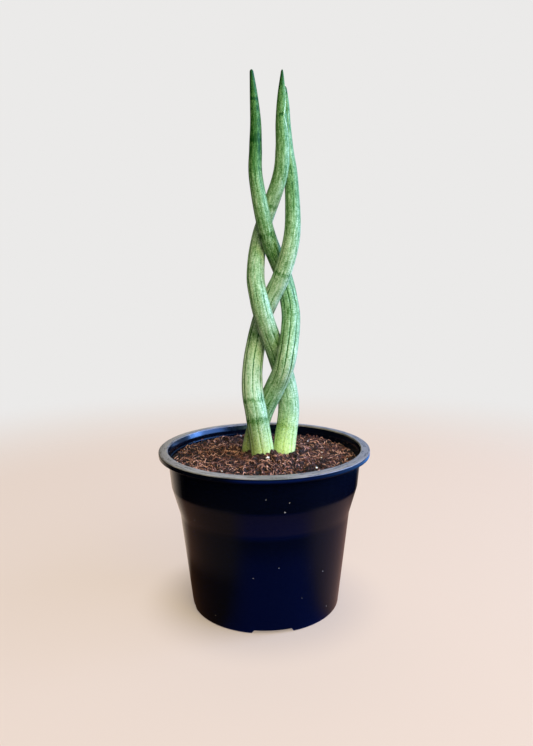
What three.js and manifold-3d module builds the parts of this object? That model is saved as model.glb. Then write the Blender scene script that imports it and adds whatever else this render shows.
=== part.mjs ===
// A cylindrical snake plant in its nursery pot: three long round leaves (spears), plaited
// by hand, stand in a pot of soil.
//
// Millimetres, +Z up, -Y is the front. The origin is the centre of the pot's foot ring, on
// the surface that the pot stands on.

import * as THREE from 'three';
import { mergeVertices } from 'three/addons/utils/BufferGeometryUtils.js';
import Module from 'manifold-3d';

const wasm = await Module();
wasm.setup();

// ---------------------------------------------------------------- driving dimensions

const GAP = 0.3; // clearance between two pieces that touch

// The pot: a straight tapered body, a steeper shoulder, a nearly upright collar, and a lip
// with a turned-down skirt. Radii are of the outer surface.
const POT_HEIGHT = 131;
const WALL = 1.4;
const BODY_BASE_RADIUS = 60.2;
const BODY_TOP_RADIUS = 69;
const BODY_TOP = 78.8;
const SHOULDER_TOP_RADIUS = 75.4;
const SHOULDER_TOP = 101.4;
const COLLAR_TOP_RADIUS = 77.8;
const COLLAR_TOP = 126;
const LIP_RADIUS = 85;
const LIP_INNER_RADIUS = 78;
const LIP_THICKNESS = 1.6;
const LIP_OUTER_ROUND = 1;
const LIP_INNER_ROUND = 0.6;
const SKIRT_BOTTOM = 126.4;
const LEDGE_HEIGHT = 122.8; // a small step inside the wall, just above the soil
const LEDGE_STEP = 0.5;
const POT_SEGMENTS = 64;

// The floor is raised on a foot ring that is cut by four drain notches.
const FLOOR_HEIGHT = 3.2;
const FOOT_INNER_RADIUS = 53;
const FOOT_EDGE_ROUND = 2;
const NOTCH_COUNT = 4;
const NOTCH_HEIGHT = 3;
const NOTCH_WIDTH = 35; // at the cutter's bottom, a notch's height below the foot
const NOTCH_START = 50; // distance from the pot's axis to the inner end of the cut
const NOTCH_END_SLOPE = 4; // how far each end of the cutter leans in towards its top
const NOTCH_TURN = 5.5; // degrees from the front towards +X to the middle of the front notch
const DRAIN_RADIUS = 4;
const DRAIN_CIRCLES = [
  { radius: 45, turn: NOTCH_TURN },
  { radius: 24, turn: NOTCH_TURN + 45 },
];

// The soil reaches to 10 mm below the lip at the wall and rises a little to the spears.
const SOIL_EDGE_HEIGHT = 120.6;
const SOIL_EDGE_RADIUS = 75.1;
const SOIL_MOUND = { x: 1, y: -4, height: 4.2, radius: 36 };
const SOIL_RINGS = 15;
const SOIL_RIM = 1; // the outermost strip of the surface, which stays level
const CRUMB_COUNT = 420;
const CRUMB_RADIUS = [3, 6.5];
const CRUMB_HEIGHT = [-1.4, 2];
const CRUMB_SEED = 7;
const CLUMPS = [ // larger lumps against the feet of the spears
  { x: 7.5, y: -12.5, radius: 9, height: 4 },
  { x: 30, y: 12, radius: 14, height: 3 },
];

// Each spear passes through its stations, [height, sideways, towards the back, diameter],
// which are the places where it turns, crosses another or changes its taper. Shallow
// grooves run along it, one of them at grooveTurn degrees from +X towards +Y.
const SPEAR_FOOT = 84;
const SOIL_LINE = 122;
const SPEAR_RINGS = 50;
const RING_CROWDING = 1.3; // above 1, the rings stand closer together towards the tip
const TIP_ROUND = 2; // the height over which the tip is rounded
const TIP_CAP = 0.4; // the last ring lies this far below the tip
const SIDES_PER_GROOVE = 3;
const GROOVE_DEPTH = 0.045; // as a share of the radius
const SPEARS = [
  {
    name: 'spear_left',
    colour: 0x7fae66,
    grooves: 9,
    grooveTurn: -12,
    stations: [
      [SPEAR_FOOT, -10, 13.5, 17.8],
      [SOIL_LINE, -10, 13.5, 17.8],
      [156, -1, 11.5, 17],
      [178, 9, 4, 16.4],
      [201, 17.5, -6, 15.8],
      [231, 22, 3, 14.9],
      [250, 20.5, 13.5, 14.3],
      [270, 15.5, 13.5, 13.6],
      [300, 3.6, -1.2, 12.7],
      [340, -4.2, -5, 10.7],
      [362, -4.4, -3.2, 9.8],
      [381, -4.1, -2.4, 8.4],
      [400, -5.2, -4, 6.1],
      [418.5, -6.8, -6.5, 2.6],
    ],
  },
  {
    name: 'spear_front',
    colour: 0x8ab873,
    grooves: 8,
    grooveTurn: -10,
    stations: [
      [SPEAR_FOOT, 16, 6.5, 18.5],
      [SOIL_LINE, 16, 6.5, 18.5],
      [156, 20.5, 16.5, 17.6],
      [178, 18.5, 19, 17],
      [201, 12, 13, 16.3],
      [231, 2, -1, 15.4],
      [250, -3, -4.1, 14.6],
      [270, -5.5, 2.5, 13.9],
      [300, -1.3, 13.2, 12.7],
      [340, 13.2, -1, 11.6],
      [362, 15.9, -3, 10.7],
      [381, 15.2, -3.2, 8.9],
      [400, 15.8, -3.5, 7.1],
      [419, 16, -3.5, 1.6],
    ],
  },
  {
    name: 'spear_back',
    colour: 0x83b26d,
    grooves: 7,
    grooveTurn: 16,
    stations: [
      [SPEAR_FOOT, -1, -5.5, 18.4],
      [SOIL_LINE, -1, -5.5, 18.4],
      [156, -5.5, -8, 17.5],
      [178, -9, -1.5, 16.9],
      [201, -8, 14.5, 16.2],
      [231, -1.5, 17.1, 15.1],
      [250, 6.5, 7.6, 14.4],
      [270, 15.5, -2.5, 13.8],
      [300, 23, -5.5, 12.6],
      [340, 22.9, 6, 10.5],
      [362, 20.3, 7, 9.1],
      [381, 19.1, 6.4, 7.1],
      [396, 19.1, 5.6, 4.6],
      [409, 18.5, 4.8, 1.6],
    ],
  },
];

// ---------------------------------------------------------------- helpers

/** Turns a geometry into one whose shared vertices are merged. */
function weld(geometry) {
  geometry.deleteAttribute('normal');
  geometry.deleteAttribute('uv');
  return mergeVertices(geometry, 1e-4);
}

function toSolid(geometry) {
  const welded = weld(geometry);
  return new wasm.Manifold(
    new wasm.Mesh({
      numProp: 3,
      vertProperties: new Float32Array(welded.attributes.position.array),
      triVerts: new Uint32Array(welded.index.array),
    }),
  );
}

function toGeometry(solid) {
  const mesh = solid.getMesh();
  const geometry = new THREE.BufferGeometry();
  geometry.setAttribute('position', new THREE.BufferAttribute(mesh.vertProperties, 3));
  geometry.setIndex(new THREE.BufferAttribute(mesh.triVerts, 1));
  geometry.computeVertexNormals();
  return geometry;
}

/** Turns a profile of radius and height about the Z axis. */
function lathe(points, segments) {
  return new THREE.LatheGeometry(points, segments).rotateX(Math.PI / 2);
}

/** A repeatable source of random numbers from 0 to 1. */
function randomSource(seed) {
  let state = seed;
  return () => {
    state = (state + 0x6d2b79f5) | 0;
    let mixed = Math.imul(state ^ (state >>> 15), 1 | state);
    mixed = (mixed + Math.imul(mixed ^ (mixed >>> 7), 61 | mixed)) ^ mixed;
    return ((mixed ^ (mixed >>> 14)) >>> 0) / 2 ** 32;
  };
}

/** The point at a radius, turned from the front towards +X by an angle in degrees. */
function fromFront(radius, degrees) {
  const angle = THREE.MathUtils.degToRad(degrees);
  return new THREE.Vector2(radius * Math.sin(angle), -radius * Math.cos(angle));
}

// ---------------------------------------------------------------- pot

/** The outer radius of the tapered body at a height. */
function bodyRadius(height) {
  return THREE.MathUtils.mapLinear(height, 0, BODY_TOP, BODY_BASE_RADIUS, BODY_TOP_RADIUS);
}

/** The wall's two outer corners, at the bottom and top of the shoulder, moved inwards. */
function shoulderCorners(inset) {
  return [
    new THREE.Vector2(BODY_TOP_RADIUS - inset, BODY_TOP),
    new THREE.Vector2(SHOULDER_TOP_RADIUS - inset, SHOULDER_TOP),
  ];
}

function potProfile() {
  const underLip = POT_HEIGHT - LIP_THICKNESS;
  const floorTop = FLOOR_HEIGHT + WALL;
  const innerCollar = COLLAR_TOP_RADIUS - WALL;
  const profile = new THREE.Path();
  profile.moveTo(0, FLOOR_HEIGHT);
  profile.lineTo(FOOT_INNER_RADIUS, FLOOR_HEIGHT);
  profile.lineTo(FOOT_INNER_RADIUS, 0);
  profile.lineTo(BODY_BASE_RADIUS - FOOT_EDGE_ROUND, 0);
  profile.quadraticCurveTo(BODY_BASE_RADIUS, 0, bodyRadius(FOOT_EDGE_ROUND), FOOT_EDGE_ROUND);
  for (const point of shoulderCorners(0)) {
    profile.lineTo(point.x, point.y);
  }
  profile.lineTo(COLLAR_TOP_RADIUS, COLLAR_TOP);
  profile.lineTo(LIP_INNER_RADIUS + WALL, COLLAR_TOP + WALL);
  profile.lineTo(LIP_INNER_RADIUS + WALL, underLip);
  profile.lineTo(LIP_RADIUS - WALL, underLip);
  profile.lineTo(LIP_RADIUS - WALL, SKIRT_BOTTOM);
  profile.lineTo(LIP_RADIUS, SKIRT_BOTTOM);
  profile.lineTo(LIP_RADIUS, POT_HEIGHT - LIP_OUTER_ROUND);
  profile.quadraticCurveTo(LIP_RADIUS, POT_HEIGHT, LIP_RADIUS - LIP_OUTER_ROUND, POT_HEIGHT);
  profile.lineTo(LIP_INNER_RADIUS + LIP_INNER_ROUND, POT_HEIGHT);
  profile.quadraticCurveTo(LIP_INNER_RADIUS, POT_HEIGHT, LIP_INNER_RADIUS, underLip);
  profile.lineTo(innerCollar, COLLAR_TOP);
  profile.lineTo(innerCollar, LEDGE_HEIGHT);
  profile.lineTo(innerCollar - LEDGE_STEP, LEDGE_HEIGHT - LEDGE_STEP);
  for (const point of shoulderCorners(WALL).reverse()) {
    profile.lineTo(point.x, point.y);
  }
  profile.lineTo(bodyRadius(floorTop) - WALL, floorTop);
  profile.lineTo(0, floorTop);
  return profile.getPoints(3);
}

/** A cutter for one drain notch: a low trapezium, pushed through the foot ring. */
function notchCutter(degrees) {
  const half = NOTCH_WIDTH / 2;
  const outline = new THREE.Shape([
    new THREE.Vector2(-half, -NOTCH_HEIGHT),
    new THREE.Vector2(half, -NOTCH_HEIGHT),
    new THREE.Vector2(half - NOTCH_END_SLOPE, NOTCH_HEIGHT),
    new THREE.Vector2(-half + NOTCH_END_SLOPE, NOTCH_HEIGHT),
  ]);
  const reach = BODY_TOP_RADIUS - NOTCH_START;
  const cutter = new THREE.ExtrudeGeometry(outline, { depth: reach, bevelEnabled: false });
  cutter.rotateX(Math.PI / 2);
  cutter.translate(0, -NOTCH_START, 0);
  cutter.rotateZ(THREE.MathUtils.degToRad(degrees));
  return toSolid(cutter);
}

function drainCutter(radius, degrees) {
  const place = fromFront(radius, degrees);
  const cutter = new THREE.CylinderGeometry(DRAIN_RADIUS, DRAIN_RADIUS, 4 * FLOOR_HEIGHT, 20);
  cutter.rotateX(Math.PI / 2);
  cutter.translate(place.x, place.y, FLOOR_HEIGHT);
  return toSolid(cutter);
}

function potGeometry() {
  let pot = toSolid(lathe(potProfile(), POT_SEGMENTS));
  for (let i = 0; i < NOTCH_COUNT; i += 1) {
    const turn = (360 / NOTCH_COUNT) * i;
    pot = pot.subtract(notchCutter(NOTCH_TURN + turn));
    for (const circle of DRAIN_CIRCLES) {
      pot = pot.subtract(drainCutter(circle.radius, circle.turn + turn));
    }
  }
  return toGeometry(pot);
}

// ---------------------------------------------------------------- spears

function smoothCurve(points) {
  return new THREE.CatmullRomCurve3(points, false, 'catmullrom', 0.5);
}

/** What is left of a spear's radius, from 1 down to 0, at a distance below its tip. */
function tipRounding(distance) {
  return Math.sqrt(1 - Math.max(1 - distance / TIP_ROUND, 0) ** 2);
}

/** How far the surface sinks, from 0 on a ridge to 1, at an angle from one of the grooves. */
function grooveShare(spear, fromGroove) {
  return Math.max(Math.cos(spear.grooves * fromGroove), 0) ** 2;
}

/**
 * A closed round bar, bent along the spear's route. A clearance makes it that much thicker
 * all over and leaves its grooves out, which gives the hole that it stands in.
 */
function spearGeometry(spear, clearance = 0) {
  const points = spear.stations.map(([z, x, y]) => new THREE.Vector3(x, y, z));
  const route = smoothCurve(points);
  const diameters = smoothCurve(spear.stations.map((station) => new THREE.Vector3(station[3])));
  const sides = SIDES_PER_GROOVE * spear.grooves;
  const geometry = weld(new THREE.CylinderGeometry(1, 1, 1, sides, SPEAR_RINGS));
  const tip = points.at(-1);
  const lastRing = 1 - TIP_CAP / (tip.z - points.at(-2).z) / (points.length - 1);
  const position = geometry.attributes.position;
  const across = new THREE.Vector3();
  const back = new THREE.Vector3();
  for (let i = 0; i < position.count; i += 1) {
    const rise = position.getY(i) + 0.5;
    const fromGroove = Math.atan2(-position.getZ(i), position.getX(i));
    const angle = fromGroove + THREE.MathUtils.degToRad(spear.grooveTurn);
    const onAxis = Math.hypot(position.getX(i), position.getZ(i)) < 0.5;
    if (onAxis && rise > 0.5) {
      position.setXYZ(i, tip.x, tip.y, tip.z + clearance);
      continue;
    }
    const share = lastRing * (1 - (1 - rise) ** RING_CROWDING);
    const centre = route.getPoint(share);
    const along = route.getTangent(share);
    across.set(1, 0, 0).addScaledVector(along, -along.x).normalize();
    back.crossVectors(along, across);
    const relief = clearance > 0 ? 1 : 1 - GROOVE_DEPTH * grooveShare(spear, fromGroove);
    const round = (diameters.getPoint(share).x / 2) * tipRounding(tip.z - centre.z);
    const radius = onAxis ? 0 : round * relief + clearance;
    centre.addScaledVector(across, radius * Math.cos(angle));
    centre.addScaledVector(back, radius * Math.sin(angle));
    centre.z -= rise === 0 ? clearance : 0;
    position.setXYZ(i, centre.x, centre.y, centre.z);
  }
  geometry.computeVertexNormals();
  return geometry;
}

// ---------------------------------------------------------------- soil

function makeCrumbs() {
  const random = randomSource(CRUMB_SEED);
  const between = ([low, high]) => low + (high - low) * random();
  const crumbs = [...CLUMPS];
  for (let i = 0; i < CRUMB_COUNT; i += 1) {
    const { x, y } = fromFront(COLLAR_TOP_RADIUS * Math.sqrt(random()), 360 * random());
    crumbs.push({ x, y, radius: between(CRUMB_RADIUS), height: between(CRUMB_HEIGHT) });
  }
  return crumbs;
}

/** How far the soil's surface stands above its edge: a low mound with crumbs on it. */
function soilRelief(crumbs, x, y) {
  const away = Math.hypot(x - SOIL_MOUND.x, y - SOIL_MOUND.y) / SOIL_MOUND.radius;
  let relief = SOIL_MOUND.height * Math.exp(-(away ** 2));
  for (const crumb of crumbs) {
    const reach = Math.hypot(x - crumb.x, y - crumb.y) / crumb.radius;
    relief += crumb.height * Math.max(1 - reach ** 2, 0) ** 2;
  }
  return relief;
}

function soilGeometry() {
  const bottom = FLOOR_HEIGHT + WALL + GAP;
  const inset = WALL + GAP;
  const profile = [new THREE.Vector2(0, bottom)];
  profile.push(new THREE.Vector2(bodyRadius(bottom) - inset, bottom));
  profile.push(...shoulderCorners(inset));
  for (let ring = SOIL_RINGS; ring >= 0; ring -= 1) {
    profile.push(new THREE.Vector2((SOIL_EDGE_RADIUS * ring) / SOIL_RINGS, SOIL_EDGE_HEIGHT));
  }
  const geometry = weld(lathe(profile, POT_SEGMENTS));
  const position = geometry.attributes.position;
  const crumbs = makeCrumbs();
  for (let i = 0; i < position.count; i += 1) {
    const x = position.getX(i);
    const y = position.getY(i);
    const onTop = position.getZ(i) > SOIL_EDGE_HEIGHT - SOIL_RIM;
    if (onTop && Math.hypot(x, y) < SOIL_EDGE_RADIUS - SOIL_RIM) {
      position.setZ(i, SOIL_EDGE_HEIGHT + soilRelief(crumbs, x, y));
    }
  }
  let soil = toSolid(geometry);
  for (const spear of SPEARS) {
    soil = soil.subtract(toSolid(spearGeometry(spear, GAP)));
  }
  return toGeometry(soil);
}

// ---------------------------------------------------------------- the part

function addPiece(group, name, geometry, look) {
  const piece = new THREE.Mesh(geometry, new THREE.MeshStandardMaterial(look));
  piece.name = name;
  group.add(piece);
}

const plant = new THREE.Group();
addPiece(plant, 'pot', potGeometry(), { color: 0x0b0c10, roughness: 0.35, metalness: 0 });
addPiece(plant, 'soil', soilGeometry(), { color: 0x5a3d30, roughness: 0.95, metalness: 0 });
for (const spear of SPEARS) {
  const look = { color: spear.colour, roughness: 0.5, metalness: 0 };
  addPiece(plant, spear.name, spearGeometry(spear), look);
}

export default plant;
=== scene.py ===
"""A cylindrical snake plant in its nursery pot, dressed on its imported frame.

Three long round leaves, plaited by hand, stand in peaty soil in an injection-moulded pot.
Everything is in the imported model's frame: metres, +Z up, -Y the front, and the origin on
the table under the pot's axis. Sizes in the classes are millimetres and degrees, unless
they say otherwise.
"""

import logging
from dataclasses import dataclass
from enum import Enum

import bpy
import numpy as np
from mathutils import Matrix, Vector


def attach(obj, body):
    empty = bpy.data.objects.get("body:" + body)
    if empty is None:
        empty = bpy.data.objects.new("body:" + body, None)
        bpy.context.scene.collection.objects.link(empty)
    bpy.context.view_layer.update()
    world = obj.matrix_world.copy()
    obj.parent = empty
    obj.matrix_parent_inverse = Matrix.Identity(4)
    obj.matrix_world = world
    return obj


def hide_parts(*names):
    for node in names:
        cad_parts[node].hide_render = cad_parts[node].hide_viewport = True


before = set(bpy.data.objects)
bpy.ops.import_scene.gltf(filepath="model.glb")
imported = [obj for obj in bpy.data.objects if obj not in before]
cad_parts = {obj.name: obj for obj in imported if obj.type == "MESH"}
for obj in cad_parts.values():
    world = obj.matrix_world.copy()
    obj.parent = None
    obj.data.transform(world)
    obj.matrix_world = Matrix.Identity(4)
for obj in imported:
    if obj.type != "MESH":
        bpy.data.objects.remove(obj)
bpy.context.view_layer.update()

MM = 0.001
GAP = 0.3  # clearance between two pieces that touch
TURN = 2 * np.pi
QUARTERS = 90 * np.arange(4) - 90  # the front, and a quarter turn on from it each time
LOG = logging.getLogger("snake_plant")

RANGE = ("Value", "From Min", "From Max", "To Min", "To Max")  # what a MapRange node takes in
USUAL = (0.3, 0.7)  # the limits between which most values of a noise node lie

Array = np.ndarray
Faces = list[Array]
Stops = tuple[tuple[float, str], ...]
Limits = tuple[float, float, float, float]  # from low and high, to low and high


# ---------------------------------------------------------------- shapes as arrays


def unit(vectors: Array) -> Array:
    """Scales each vector to a length of 1."""
    return vectors / np.maximum(np.linalg.norm(vectors, axis=-1, keepdims=True), 1e-12)


def ease(value: Array, low: float, high: float) -> Array:
    """A smooth step: 0 below low, 1 above high, 3t^2 - 2t^3 between."""
    share = np.clip((value - low) / (high - low), 0, 1)
    return share * share * (3 - 2 * share)


def bell(value: Array) -> Array:
    """A bell curve: e to the minus square of the value."""
    return np.exp(-(value**2))


def circle(angle: Array) -> Array:
    """Points on a circle of radius 1: the cosine and the sine, in the last axis."""
    return np.stack([np.cos(angle), np.sin(angle)], -1)


def apart(angle: Array, other: Array | float, turn: float = 360.0) -> Array:
    """How far an angle is past another one, the short way round a full turn."""
    return (angle - other + turn / 2) % turn - turn / 2


def soft_noise(points: Array, cell: float, seed: int, octaves: int = 1) -> Array:
    """Smooth noise: random values on a cubic lattice, blended with an eased weight.

    Args:
        points: places, in the last axis x, y and z.
        cell: lattice spacing of the first octave, in the units of the points.
        seed: picks the random values.
        octaves: each further one has half the spacing and half the weight.

    Returns:
        One value a point, from about -1 to 1.
    """
    side, shift = 32, 7.3  # the lattice repeats after a side, and each octave is shifted
    table = np.random.default_rng(seed).uniform(-1, 1, (side, side, side))
    corners = np.indices((2, 2, 2)).reshape(3, -1).T
    total = np.zeros(points.shape[:-1])
    for octave in range(octaves):
        place = points * (2**octave / cell) + shift * octave
        low = np.floor(place).astype(int)
        part = place - low
        part = part * part * (3 - 2 * part)
        for corner in corners:
            x, y, z = np.moveaxis((low + corner) % side, -1, 0)
            share = np.where(corner == 1, part, 1 - part).prod(-1)
            total += table[x, y, z] * share / 2**octave
    return total


def domes(x: Array, y: Array, cell: float, seed: int) -> Array:
    """A layer of packed round grains: the height of the highest dome over each point.

    Each square cell of the ground holds one grain, at a random place, with a random
    radius up to the cell's width. A dome is its grain's height times the square root of
    1 minus the squared distance over the squared radius.

    Args:
        x: sideways places.
        y: places towards the back.
        cell: width of a cell.
        seed: picks the grains.

    Returns:
        Heights from 0 to about half a cell.
    """
    side = 64  # the grains repeat after this many cells
    least_radius, more_radius, least_height, more_height = 0.45, 0.5, 0.2, 0.3
    table = np.random.default_rng(seed).random((side, side, 4))
    column, row = np.floor(x / cell).astype(int), np.floor(y / cell).astype(int)
    top = np.zeros_like(x)
    for step in np.ndindex(3, 3):
        across, up = column + step[0] - 1, row + step[1] - 1
        grain = table[across % side, up % side]
        radius = cell * (least_radius + more_radius * grain[..., 2])
        away = (x - (across + grain[..., 0]) * cell) ** 2
        away += (y - (up + grain[..., 1]) * cell) ** 2
        dome = np.sqrt(np.maximum(1 - away / radius**2, 0))
        top = np.maximum(top, cell * (least_height + more_height * grain[..., 3]) * dome)
    return top


def along_stations(stations: Array, share: Array) -> tuple[Array, Array]:
    """A smooth route through stations: a cubic between each two, whose slope at a
    station is half the step from the station before it to the one after it.

    Args:
        stations: the values that it passes through, one station a row.
        share: how far along, from 0 to 1, with each station an equal step.

    Returns:
        The values, and their slopes there.
    """
    first, last = 2 * stations[0] - stations[1], 2 * stations[-1] - stations[-2]
    points = np.vstack([first, stations, last])
    spans = len(stations) - 1
    place = np.clip(share, 0, 1) * spans
    low = np.minimum(place.astype(int), spans - 1)
    t = (place - low)[:, None]
    p0, p1, p2, p3 = (points[low + step] for step in range(4))
    slope, end_slope = (p2 - p0) / 2, (p3 - p1) / 2
    square, cube = 3 * (p2 - p1) - 2 * slope - end_slope, 2 * (p1 - p2) + slope + end_slope
    values = p1 + slope * t + square * t**2 + cube * t**3
    return values, slope + 2 * square * t + 3 * cube * t**2


def skin_faces(rings: int, sides: int) -> Faces:
    """Faces of a closed skin: quads from ring to ring, and a fan to a pole at each end.

    The points are numbered ring by ring, then the first pole, then the last.
    """
    side = np.arange(sides)
    after = (side + 1) % sides
    ring = np.arange(rings - 1)[:, None] * sides
    quads = np.stack([ring + side, ring + after, ring + sides + after, ring + sides + side], -1)
    pole, top = rings * sides, (rings - 1) * sides
    first = np.stack([np.full(sides, pole), after, side], -1)
    last = np.stack([top + side, top + after, np.full(sides, pole + 1)], -1)
    return [quads.reshape(-1, 4), first, last]


def repeated(faces: Array, count: int, points: int) -> Array:
    """The faces of one small body, repeated for a count of bodies with those points."""
    return (np.arange(count)[:, None, None] * points + faces).reshape(-1, faces.shape[1])


def rounded(corners: list[tuple[float, float, float]], steps: int = 5, longest: float = 4.0) -> Array:
    """A profile whose corners are rounded with parabolas.

    Args:
        corners: radius, height, and how far before and after the corner its rounding
            reaches. The first and last are on the axis and are left out.
        steps: points on each rounding.
        longest: the longest span between two points.

    Returns:
        Radius and height of each point.
    """
    table = np.array(corners, float)
    point, cut = table[1:-1, :2], table[1:-1, 2:]
    start = point + unit(table[:-2, :2] - point) * cut
    end = point + unit(table[2:, :2] - point) * cut
    t = np.linspace(0, 1, steps)[None, :, None]
    curve = (1 - t) ** 2 * start[:, None] + 2 * t * (1 - t) * point[:, None] + t**2 * end[:, None]
    curve = curve.reshape(-1, 2)
    curve = curve[np.r_[True, np.linalg.norm(np.diff(curve, axis=0), axis=1) > 1e-6]]
    length = np.r_[0, np.linalg.norm(np.diff(curve, axis=0), axis=1).cumsum()]
    spans = zip(length, length[1:])
    extra = [np.linspace(a, b, int((b - a) / longest) + 1, endpoint=False) for a, b in spans]
    at = np.r_[np.concatenate(extra), length[-1]]
    return np.stack([np.interp(at, length, curve[:, 0]), np.interp(at, length, curve[:, 1])], 1)


def lathe(profile: Array, angles: Array) -> Array:
    """A profile of radius and height, turned about the Z axis: rings, angles, xyz."""
    radius, height = profile[:, :1], profile[:, 1:]
    x, y = radius * np.cos(angles), radius * np.sin(angles)
    return np.stack([x, y, np.broadcast_to(height, x.shape)], -1)


def ball(levels: int) -> tuple[Array, Array]:
    """An icosahedron, each face split into four a level, with its points at radius 1."""
    gold, edge = (1 + 5**0.5) / 2, 2.1  # corners nearer than this share an edge
    pairs = np.array([(a, b * gold) for a in (-1, 1) for b in (-1, 1)])
    flat = np.c_[np.zeros(4), pairs]
    points = np.vstack([flat, flat[:, [1, 2, 0]], flat[:, [2, 0, 1]]])
    near = np.linalg.norm(points[:, None] - points[None], axis=-1) < edge
    i, j, k = np.indices((12, 12, 12)).reshape(3, -1)
    joined = near[i, j] & near[j, k] & near[k, i] & (i < j) & (i < k) & (j != k)
    faces = np.stack([i, j, k], 1)[joined]
    a, b, c = points[faces[:, 0]], points[faces[:, 1]], points[faces[:, 2]]
    faces = faces[(np.cross(b - a, c - a) * a).sum(1) > 0]
    for _ in range(levels):
        edges = np.sort(faces[:, [0, 1, 1, 2, 2, 0]].reshape(-1, 2), axis=1)
        edges, number = np.unique(edges, axis=0, return_inverse=True)
        middle = (number.reshape(-1, 3) + len(points)).T
        points = np.vstack([points, points[edges].mean(1)])
        p, q, r = faces.T
        u, v, w = middle
        faces = np.vstack([np.stack(f, 1) for f in ((p, u, w), (u, q, v), (w, v, r), (u, v, w))])
    return unit(points), faces


def new_piece(
    name: str, points: Array, faces: Faces, marks: dict[str, Array] | None = None
) -> bpy.types.Object:
    """Puts a surface into the scene as one smooth-shaded mesh at the origin.

    Args:
        name: the piece's name.
        points: its points, in millimetres.
        faces: arrays of point numbers, one face a row.
        marks: values or vectors for each point, kept as attributes for the finish.

    Returns:
        The new object.
    """
    mesh = bpy.data.meshes.new(name)
    corners = np.concatenate([group.ravel() for group in faces]).astype(np.int32)
    sizes = np.concatenate([np.full(len(group), group.shape[1]) for group in faces])
    mesh.vertices.add(len(points))
    mesh.vertices.foreach_set("co", (points * MM).astype(np.float32).ravel())
    mesh.loops.add(len(corners))
    mesh.loops.foreach_set("vertex_index", corners)
    mesh.polygons.add(len(sizes))
    mesh.polygons.foreach_set("loop_start", np.r_[0, sizes.cumsum()[:-1]].astype(np.int32))
    mesh.polygons.foreach_set("use_smooth", np.ones(len(sizes), bool))
    for key, values in (marks or {}).items():
        kind, slot = ("FLOAT", "value") if values.ndim == 1 else ("FLOAT_VECTOR", "vector")
        attribute = mesh.attributes.new(key, kind, "POINT")
        attribute.data.foreach_set(slot, values.astype(np.float32).ravel())
    mesh.update(calc_edges=True)
    piece = bpy.data.objects.new(name, mesh)
    bpy.context.scene.collection.objects.link(piece)
    return piece


def settle(piece: bpy.types.Object, finish: bpy.types.Material, node: str = "") -> None:
    """Dresses a finished piece and ties it to the frame.

    Args:
        piece: the object, in place.
        finish: its material.
        node: the CAD node that it stands for, if it stands for one.
    """
    piece.data.materials.clear()
    piece.data.materials.append(finish)
    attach(piece, "root")
    if node:
        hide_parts(node)
    LOG.info("%s: %d faces, finish %s", piece.name, len(piece.data.polygons), finish.name)


# ---------------------------------------------------------------- finishes


def linear(code: str) -> tuple[float, float, float, float]:
    """Turns an sRGB hex code into linear red, green and blue, with an alpha of 1."""
    channels = [int(code[place : place + 2], 16) / 255 for place in (0, 2, 4)]
    red, green, blue = (c / 12.92 if c <= 0.04045 else ((c + 0.055) / 1.055) ** 2.4 for c in channels)
    return red, green, blue, 1.0


def per_mm(size: float) -> float:
    """The scale of a pattern on coordinates in metres whose features are size mm wide."""
    return 1 / (size * MM)


class Sheet:
    """A new node tree, with the one function that adds a node to it."""

    def __init__(self, owner: bpy.types.Material | bpy.types.World) -> None:
        """Empties the owner's node tree."""
        self.owner = owner
        owner.use_nodes = True
        self.tree = owner.node_tree
        self.tree.nodes.clear()

    def add(
        self,
        kind: str,
        inputs: dict[str | int, object],
        out: str = "",
        stops: Stops = (),
        **settings: object,
    ) -> bpy.types.NodeSocket | None:
        """Adds a node, with its settings and links.

        Args:
            kind: the node's type, without its ShaderNode prefix.
            inputs: a value or another node's output for inputs, by name or number.
            out: the output to hand back, by name; the first one if empty.
            stops: place and hex colour of each stop, if it is a colour ramp.
            **settings: the node's own properties.

        Returns:
            The asked output, or None if the node has none.
        """
        node = self.tree.nodes.new("ShaderNode" + kind)
        for key, value in settings.items():
            setattr(node, key, value)
        for place, (position, colour) in enumerate(stops):
            elements = node.color_ramp.elements
            stop = elements[place] if place < 2 else elements.new(position)
            stop.position, stop.color = position, linear(colour)
        for key, value in inputs.items():
            named = [s for s in node.inputs if key in (s.identifier, s.name) and s.enabled]
            socket = node.inputs[key] if isinstance(key, int) else named[0]
            if isinstance(value, bpy.types.NodeSocket):
                self.tree.links.new(value, socket)
            else:
                socket.default_value = value
        ready = [s for s in node.outputs if s.enabled and out in ("", s.name)]
        return ready[0] if ready else None


@dataclass(frozen=True)
class Grain:
    """A noise in a finish: the size of its features in mm, its detail and roughness, and
    the scale of its coordinates, where less than 1 draws it out that way."""

    size: float
    detail: float
    roughness: float = 0.5
    scale: tuple[float, float, float] = (1.0, 1.0, 1.0)


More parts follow.
